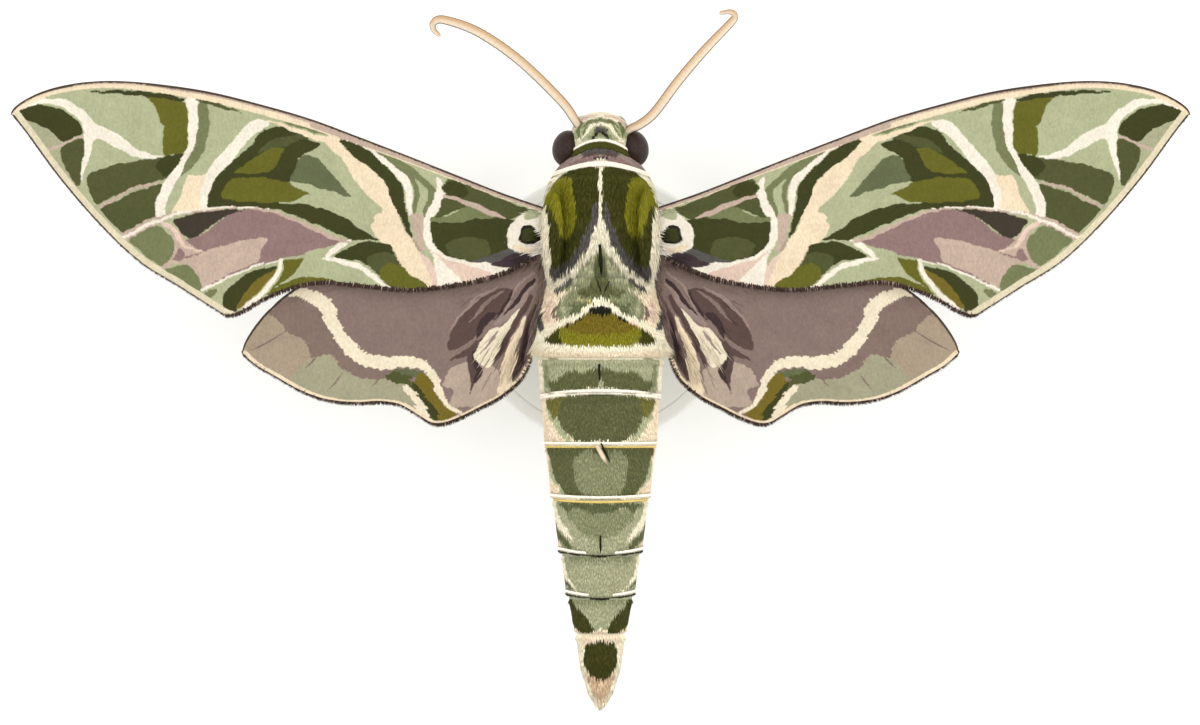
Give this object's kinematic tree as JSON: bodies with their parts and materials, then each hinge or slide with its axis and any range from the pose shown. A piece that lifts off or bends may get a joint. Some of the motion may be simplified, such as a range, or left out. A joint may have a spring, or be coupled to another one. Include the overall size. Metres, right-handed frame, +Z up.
{
  "type": "oleander hawk moth",
  "caption": "Life-size oleander hawk moth with its wings spread as in flight, held over a table by a round base and a short rod.",
  "frame": {"origin": "centre of the display stand's flat underside, where its rod's axis meets the table", "axes": "+Z up, +Y towards the moth's tail, +X to the moth's left"},
  "size_m": [0.1102, 0.0654, 0.028],
  "materials": {
    "coat": "dense velvety hair scales in moss green, sage, white and olive",
    "forewing": "velvety overlapping scales marbled in moss and sage green, cream and mauve",
    "hindwing": "velvety overlapping scales, brown with a cream band and a green rear corner",
    "eye": "glossy faceted compound eye, dark brown",
    "antenna": "ringed, cream scales above and tan below",
    "leg": "close cream and sage scales",
    "tongue": "smooth coiled tan-brown tube",
    "stand": "satin white cast acrylic",
    "rod": "turned steel rod with a brushed finish"
  },
  "bodies": {
    "root": {"head": "coat", "collar": "coat", "thorax": "coat", "metathorax": "coat", "tegula_left": "coat", "tegula_right": "coat", "abdomen_1": "coat", "abdomen_2": "coat", "abdomen_3": "coat", "abdomen_4": "coat", "abdomen_5": "coat", "abdomen_6": "coat", "abdomen_7": "coat", "abdomen_8": "coat", "eye_left": "eye", "palp_left": "coat", "antenna_left": "antenna", "forewing_left": "forewing", "hindwing_left": "hindwing", "foreleg_left_femur": "leg", "foreleg_left_tibia": "leg", "foreleg_left_tarsus": "leg", "midleg_left_femur": "leg", "midleg_left_tibia": "leg", "midleg_left_tarsus": "leg", "hindleg_left_femur": "leg", "hindleg_left_tibia": "leg", "hindleg_left_tarsus": "leg", "eye_right": "eye", "palp_right": "coat", "antenna_right": "antenna", "forewing_right": "forewing", "hindwing_right": "hindwing", "foreleg_right_femur": "leg", "foreleg_right_tibia": "leg", "foreleg_right_tarsus": "leg", "midleg_right_femur": "leg", "midleg_right_tibia": "leg", "midleg_right_tarsus": "leg", "hindleg_right_femur": "leg", "hindleg_right_tibia": "leg", "hindleg_right_tarsus": "leg", "tongue": "tongue", "stand_base": "stand", "stand_rod": "rod"}
  },
  "joints": []
}
